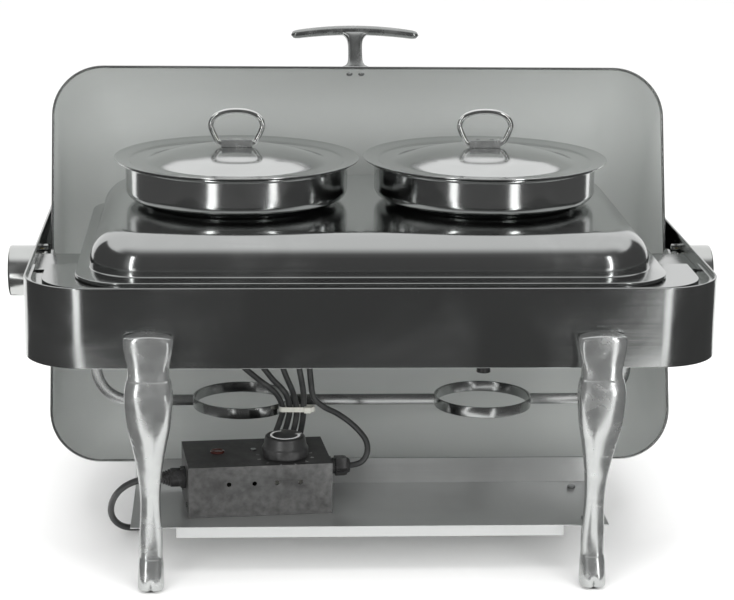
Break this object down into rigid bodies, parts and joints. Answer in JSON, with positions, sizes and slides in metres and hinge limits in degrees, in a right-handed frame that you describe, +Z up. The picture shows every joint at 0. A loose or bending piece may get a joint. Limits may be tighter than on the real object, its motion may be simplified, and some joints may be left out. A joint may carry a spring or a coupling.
{
  "type": "roll top chafer",
  "caption": "Rectangular roll top food warmer: banded frame on cast legs, round pans with lids on a raised adaptor plate, and a thermostat heater box on the shelf.",
  "frame": {"origin": "on the floor, under the middle of the frame", "axes": "+X to the right seen from the front, +Y to the back, +Z up"},
  "size_m": [0.7204, 0.5462, 0.4913],
  "materials": {
    "dark_steel": "brushed",
    "satin_steel": "satin",
    "polished_steel": "polished",
    "cast_steel": "polished cast",
    "heater_iron": "matt",
    "brass": "turned",
    "dark_plastic": "satin",
    "rubber": "matt",
    "black_paint": "satin black paint",
    "pale_plastic": "satin",
    "lamp_red": "gloss"
  },
  "bodies": {
    "root": {"frame_band": "dark_steel", "ledge": "satin_steel", "pan_supports": "satin_steel", "water_pan": "satin_steel", "drain_stub": "dark_plastic", "heater_plates": "heater_iron", "heater_covers": "satin_steel", "burner_rack": "satin_steel", "burner_ring_left": "satin_steel", "burner_ring_right": "satin_steel", "shelf": "satin_steel", "stretcher_left": "satin_steel", "stretcher_right": "satin_steel", "leg_front_left": "cast_steel", "leg_front_right": "cast_steel", "leg_rear_left": "cast_steel", "leg_rear_right": "cast_steel", "foot_pads": "rubber", "frame_bolts": "polished_steel", "hinge_bushes": "brass", "stop_pins": "polished_steel", "control_box_cover": "black_paint", "control_box_base": "black_paint", "thermostat": "pale_plastic", "terminal_block": "pale_plastic", "pilot_lamp": "lamp_red", "box_screws": "polished_steel", "mains_gland": "dark_plastic", "lead_gland": "dark_plastic", "lead_1": "rubber", "lead_2": "rubber", "lead_3": "rubber", "lead_4": "rubber", "lead_5": "rubber", "cable_tie": "pale_plastic", "mains_cord_run": "rubber", "mains_coil": "rubber", "mains_plug": "dark_plastic", "coil_tie": "rubber"},
    "knob": {"knob": "dark_plastic"},
    "roll_top": {"lid_shell": "satin_steel", "lid_handle": "polished_steel", "lid_handle_screws": "polished_steel", "hinge_arm_left": "polished_steel", "hinge_arm_right": "polished_steel", "arm_rivets": "polished_steel", "hinge_spindles": "polished_steel", "friction_washers": "pale_plastic", "hub_cap_left": "polished_steel", "hub_cap_right": "polished_steel"},
    "adaptor_plate": {"adaptor_plate": "polished_steel"},
    "pan_left": {"pan_left": "polished_steel"},
    "pan_right": {"pan_right": "polished_steel"},
    "pan_lid_left": {"pan_lid_left": "polished_steel", "loop_handle_left": "polished_steel", "handle_clamp_left": "polished_steel"},
    "pan_lid_right": {"pan_lid_right": "polished_steel", "loop_handle_right": "polished_steel", "handle_clamp_right": "polished_steel"}
  },
  "joints": [
    {"name": "roll_top_hinge", "type": "hinge", "parent": "root", "child": "roll_top", "pos_m": [0, -0.011, 0.257], "axis": [-1, 0, 0], "range_deg": [-109.3, 0]},
    {"name": "thermostat_turn", "type": "hinge", "parent": "root", "child": "knob", "pos_m": [-0.08204, -0.14324, 0.12], "axis": [0, 0, -1], "range_deg": [0, 270]},
    {"name": "adaptor_plate_lift", "type": "slide", "parent": "root", "child": "adaptor_plate", "axis": [0, -0.6, 0.8], "range_m": [0, 0.03]},
    {"name": "pan_left_lift", "type": "slide", "parent": "adaptor_plate", "child": "pan_left", "axis": [0, -0.6, 0.8], "range_m": [0, 0.04]},
    {"name": "pan_right_lift", "type": "slide", "parent": "adaptor_plate", "child": "pan_right", "axis": [0, -0.6, 0.8], "range_m": [0, 0.04]},
    {"name": "pan_lid_left_lift", "type": "slide", "parent": "pan_left", "child": "pan_lid_left", "axis": [0, -0.6, 0.8], "range_m": [0, 0.06]},
    {"name": "pan_lid_right_lift", "type": "slide", "parent": "pan_right", "child": "pan_lid_right", "axis": [0, -0.6, 0.8], "range_m": [0, 0.06]}
  ]
}
